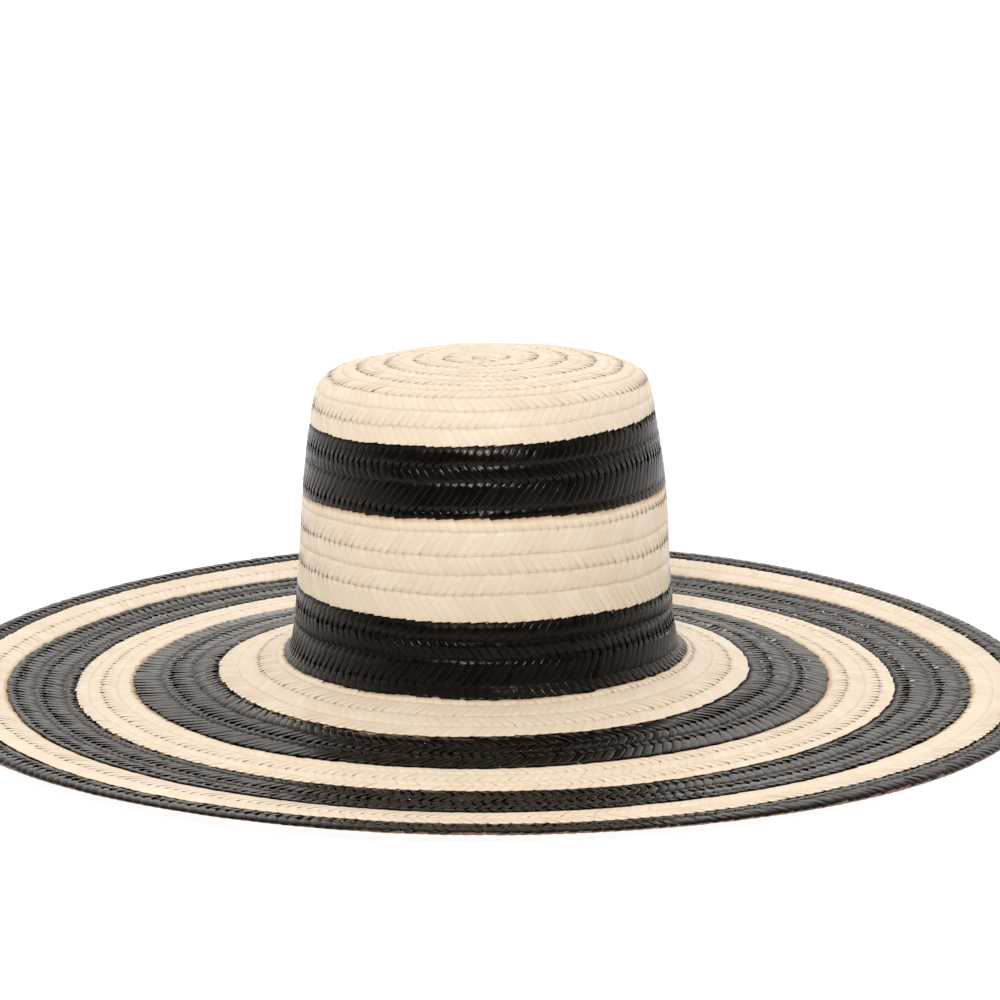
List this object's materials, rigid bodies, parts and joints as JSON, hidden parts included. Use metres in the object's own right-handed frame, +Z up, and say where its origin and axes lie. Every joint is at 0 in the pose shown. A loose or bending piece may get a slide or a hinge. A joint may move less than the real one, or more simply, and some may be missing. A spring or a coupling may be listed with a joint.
{
  "type": "wide-brimmed straw hat",
  "caption": "Wide, nearly flat-brimmed straw sun hat with a tall flat-topped crown, braided in black and natural stripes.",
  "frame": {"origin": "on the axis of the crown, on the surface that the brim rests on", "axes": "+Z up along the axis of the crown, -Y towards the front as pictured, +X to the right as pictured"},
  "size_m": [0.5296, 0.5296, 0.1585],
  "materials": {
    "natural_straw": "satin braided straw",
    "black_straw": "satin braided straw"
  },
  "bodies": {
    "root": {"crown_tip": "natural_straw", "crown_band_upper_black": "black_straw", "crown_band_natural": "natural_straw", "crown_band_lower_black": "black_straw", "brim_ring_inner_natural": "natural_straw", "brim_ring_inner_black": "black_straw", "brim_ring_middle_natural": "natural_straw", "brim_ring_outer_black": "black_straw", "brim_ring_outer_natural": "natural_straw", "brim_edge_black": "black_straw"}
  },
  "joints": []
}
